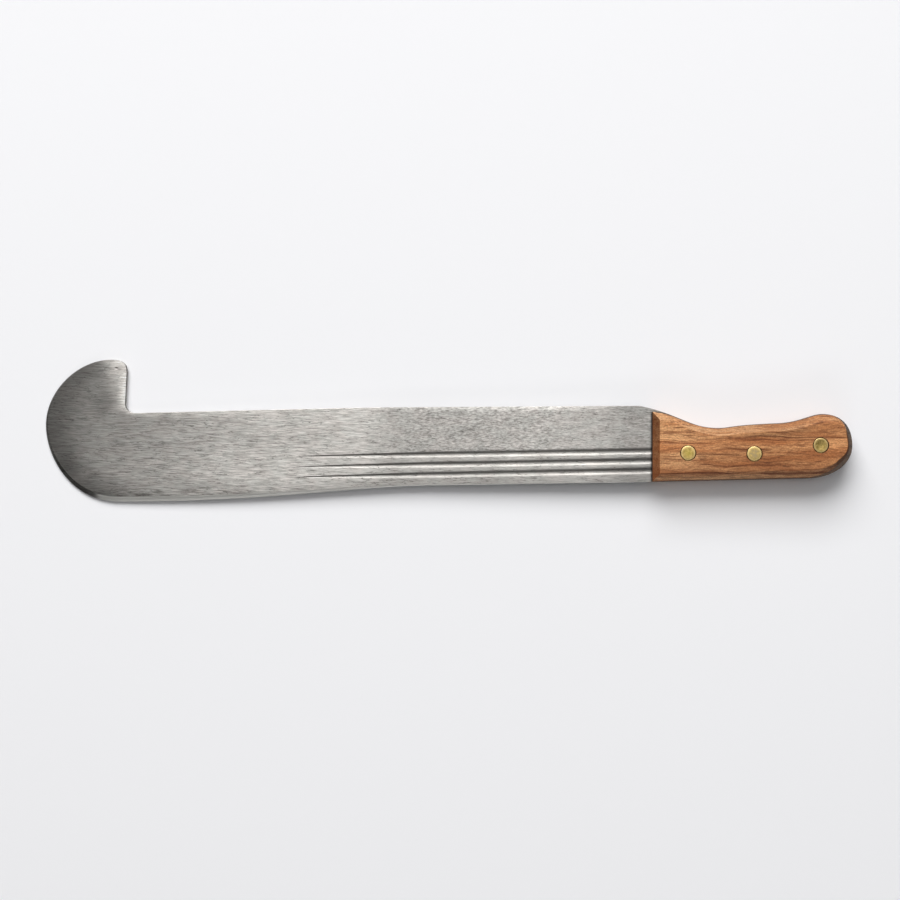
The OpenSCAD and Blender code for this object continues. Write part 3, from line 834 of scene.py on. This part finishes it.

# Painted light makes the chamfers of the back and of the underside paler, but not the walls. The
# spine-side walls are darker, so that they throw less light on the table.
lean, lean_aside = wood.axes(wood.lie)[:2]
on_chamfer = wood.span(wood.maths("ABSOLUTE", lean_aside), 0.8, 0.95, 1, 0)
back_chamfer_light = wood.times(wood.span(lean_aside, 0.35, 0.65),
                      wood.span(reach, 35 * mm, 85 * mm, 1, 0.6), on_chamfer,
                      wood.span(reach, 14 * mm, 34 * mm, 0.25, 1))
under_chamfer_light = wood.times(wood.span(lean_aside, -0.65, -0.35, 1, 0),
                       wood.span(reach, 20 * mm, 75 * mm, 0.76, 1), on_chamfer)
back_chamfer_lit = wood.blend(back_chamfer_light, soaked, (1.19, 1.48, 1.84, 1), "MULTIPLY")
chamfers_lit = wood.blend(under_chamfer_light, back_chamfer_lit, (1.72, 1.94, 2.36, 1), "MULTIPLY")
edged = wood.scaled(chamfers_lit, wood.span(lean_aside, 0.8, 0.95, 1, 0.72))

# End grain is dark: the front chamfer, which is lighter low down, and the butt, whose lower corner
# also carries painted shade. The front wall is painted dark as shade in the corner against the
# blade.
front_share = wood.span(lean, -0.75, -0.45, 1, 0)
fronted = wood.blend(wood.times(front_share, 0.85), edged, shade(86, 42, 16))
low_light = wood.times(front_share, wood.span(height, -12 * mm, 20 * mm, 0.26, -0.14))
fronted = wood.scaled(fronted, wood.maths("ADD", low_light, 1.0))
end_on = wood.maths("MULTIPLY_ADD", lean_aside, -0.6, lean)
butt_grain_and_shade = wood.times(wood.span(end_on, 0.44, 0.6, 0, 0.87), wood.span(lean, 0.03, 0.45))
butt_darkened = wood.blend(butt_grain_and_shade, fronted, shade(62, 37, 25))
front_wall_shaded = wood.blend(wood.span(lean, -0.98, -0.88, 0.95, 0), butt_darkened, shade(44, 24, 18))
wood.put(wood.shader.inputs["Base Color"], front_wall_shaded)
wood.put(wood.shader.inputs["Roughness"], wood.span(fibres, 0.3, 0.7, 0.5, 0.65))
wood.shader.inputs["Specular IOR Level"].default_value = 0.25
open_grain = wood.maths("SUBTRACT", wood.times(fibres, -0.5), pores)
wood.put(wood.shader.inputs["Normal"], wood.bump(open_grain, 0.08 * mm))

for name, node, flip in (("front_wooden_scale", "front_scale", False),
                         ("back_wooden_scale", "back_scale", True)):
    scale = make_piece(name, np.vstack(scale_points), scale_faces, wood.material, 18, flip)
    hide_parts(node)

# Three two-part brass rivets hold the handle. The pin half of each is driven into the sleeve half,
# and their broad heads lie in counterbores, ground flush with the wood and dulled by handling.
head_radius = 5 * mm
head_crown = 0.1 * mm
head_sink = 0.05 * mm
head_round = 0.35 * mm
rear_dish = 0.36 * mm
pin_radius = 2 * mm
sleeve_radius = 3 * mm
pin_clearance = 0.02 * mm
pin_end_z = -6.55 * mm
sleeve_end_z = 8.85 * mm
bore_end_z = -7.05 * mm
head_under_z = grip_z - head_seat_depth
turns = 48


def head_profile(dish):
    """Half of a head's outline, from the middle of its face over its rim to its underside."""
    face_radius = head_radius - head_round
    top = grip_z - head_sink
    for share in (0, 0.2, 0.4, 0.6, 0.75, 0.88, 1):
        yield share * face_radius, top - head_crown * share**4 - dish * (1 - share * share) ** 2
    for turn in (30, 60, 90):
        angle = math.radians(turn)
        yield (face_radius + head_round * math.sin(angle),
               top - head_crown - head_round * (1 - math.cos(angle)))
    yield head_radius, head_under_z


def turned(name, place, profile, flip):
    """A piece turned on a lathe about a rivet's axis. The profile starts and ends on the axis."""
    angle = np.arange(turns) * 2 * math.pi / turns
    ring = np.column_stack([np.cos(angle), np.sin(angle)])
    points = [np.array([[*place, profile[0][1]]])]
    faces = [(0, 1 + i, 1 + (i + 1) % turns) for i in range(turns)]
    for k, (radius, z) in enumerate(profile[1:-1]):
        points.append(np.column_stack([np.array(place) + ring * radius, np.full(turns, z)]))
        if k > 0:
            faces += strip(1 + (k - 1) * turns, 1 + k * turns, turns)
    end = 1 + (len(profile) - 2) * turns
    points.append(np.array([[*place, profile[-1][1]]]))
    faces += [(end, end - turns + (i + 1) % turns, end - turns + i) for i in range(turns)]
    piece = make_piece(name, np.vstack(points), faces, brass.material, 35, flip)
    radii = np.array([p[0] for p in profile[1:-1]])
    # The rim mark carries a painted highlight near each head's rim
    rim_highlight = np.clip((radii / head_radius - 0.68) / 0.2, 0, 1)
    marks = np.concatenate([[0], np.repeat(rim_highlight, turns), [0]])
    piece.data.attributes.new("rim", "FLOAT", "POINT").data.foreach_set("value", marks)
    return piece


# The brass is tarnished in patches and specks, and a painted highlight brightens it round the rims.
# The front head is greener in its middle, the middle one greyed, and the rear one darkened.
brass = Finish("worn_brass")
tarnish = brass.noise(brass.stretched((1.9 * mm, 1.6 * mm, 1.8 * mm)), 4, 0.65)
specks = brass.noise(brass.stretched((0.5 * mm, 0.45 * mm, 0.5 * mm), (0.03, 0, 0)), 3, 0.6)
metal = brass.blend(brass.span(tarnish, 0.38, 0.62), shade(156, 134, 74), shade(214, 184, 114))
specked = brass.blend(brass.span(specks, 0.5, 0.75, 0, 0.5), metal, shade(120, 98, 62))
rim_lit = brass.blend(brass.times(brass.mark("rim"), 0.7), specked, shade(228, 200, 142))
from_front, from_middle, from_rear = (
    brass.distance((*place, 0), brass.stretched((1, 1, 1000))) for place in rivet_places)
greened = brass.blend(brass.span(from_front, 1 * mm, 3.6 * mm, 0.4, 0, True), rim_lit,
                      shade(184, 166, 76))
grey_share = brass.times(brass.span(from_middle, 2 * mm, 4.4 * mm, 1, 0, True),
                         brass.span(tarnish, 0.42, 0.56, 0.6, 0.05))
greyed = brass.blend(grey_share, greened, shade(172, 152, 122))
brass.put(brass.shader.inputs["Base Color"],
          brass.scaled(greyed, brass.span(from_rear, 6 * mm, 9 * mm, 0.72, 1)))
brass.shader.inputs["Metallic"].default_value = 1.0
brass.put(brass.shader.inputs["Roughness"], brass.span(tarnish, 0.35, 0.65, 0.3, 0.45))
brass.put(brass.shader.inputs["Normal"], brass.bump(specks, 0.02 * mm))

bore = pin_radius + pin_clearance
for name, place, dish in zip(("front", "middle", "rear"), rivet_places, (0, 0, rear_dish)):
    pin = list(head_profile(dish)) + [
        (pin_radius, head_under_z), (pin_radius, pin_end_z), (0, pin_end_z)]
    sleeve = list(head_profile(0)) + [
        (sleeve_radius, head_under_z), (sleeve_radius, -sleeve_end_z), (bore, -sleeve_end_z),
        (bore, -bore_end_z), (0, -bore_end_z)]
    for half, profile, flip in (("pin", pin, False), ("sleeve", sleeve, True)):
        piece = turned(f"{name}_brass_{half}", place, profile, flip)
        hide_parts(f"{name}_rivet_{half}")

# The table is a plain pale surface under soft studio light. The chief lamp stands well beyond the
# spine, so that the shadow falls towards the edge; a weaker one hangs over the table and a faint
# one beyond the edge fills the shadow.
table_size = 4.0
half_table = table_size / 2
table_mesh = bpy.data.meshes.new("table")
table_mesh.from_pydata([(-half_table, -half_table, 0), (half_table, -half_table, 0),
                        (half_table, half_table, 0), (-half_table, half_table, 0)],
                       [], [(0, 1, 2, 3)])
table = bpy.data.objects.new("table", table_mesh)
bpy.context.scene.collection.objects.link(table)
paper = Finish("pale_table")
paper.shader.inputs["Base Color"].default_value = shade(240, 240, 242)
paper.shader.inputs["Roughness"].default_value = 0.9
table_mesh.materials.append(paper.material)


def lamp(name, place, aim, size, watts):
    light = bpy.data.lights.new(name, "AREA")
    light.shape = "RECTANGLE"
    light.size, light.size_y = size
    light.energy = watts
    holder = bpy.data.objects.new(name, light)
    bpy.context.scene.collection.objects.link(holder)
    holder.location = place
    holder.rotation_euler = (Vector(aim) - Vector(place)).to_track_quat("-Z", "Y").to_euler()


lamp("spine_side_lamp", (-0.905, 4.257, 4.13), (0, 0, 0), (4.8, 4.0), 458)
lamp("overhead_lamp", (0.25, 0.22, 1.8), (0.25, 0.22, 0), (1.7, 1.0), 6.8)
lamp("edge_side_lamp", (0, -4.915, 3.441), (0, 0, 0), (3.0, 1.6), 29)
world = bpy.data.worlds.new("studio")
world.use_nodes = True
world.node_tree.nodes["Background"].inputs["Color"].default_value = (0.05, 0.05, 0.05, 1)
bpy.context.scene.world = world
bpy.context.scene.view_settings.view_transform = "Standard"

# The camera looks straight down on the tool from well above, through a long lens, so that the
# picture shows hardly any perspective.
camera_height = 1.5
camera_lens = 89.1
camera = bpy.data.objects.new("camera", bpy.data.cameras.new("camera"))
bpy.context.scene.collection.objects.link(camera)
camera.location = (1.9 * mm, -12.45 * mm, camera_height)
camera.data.lens = camera_lens
bpy.context.scene.camera = camera
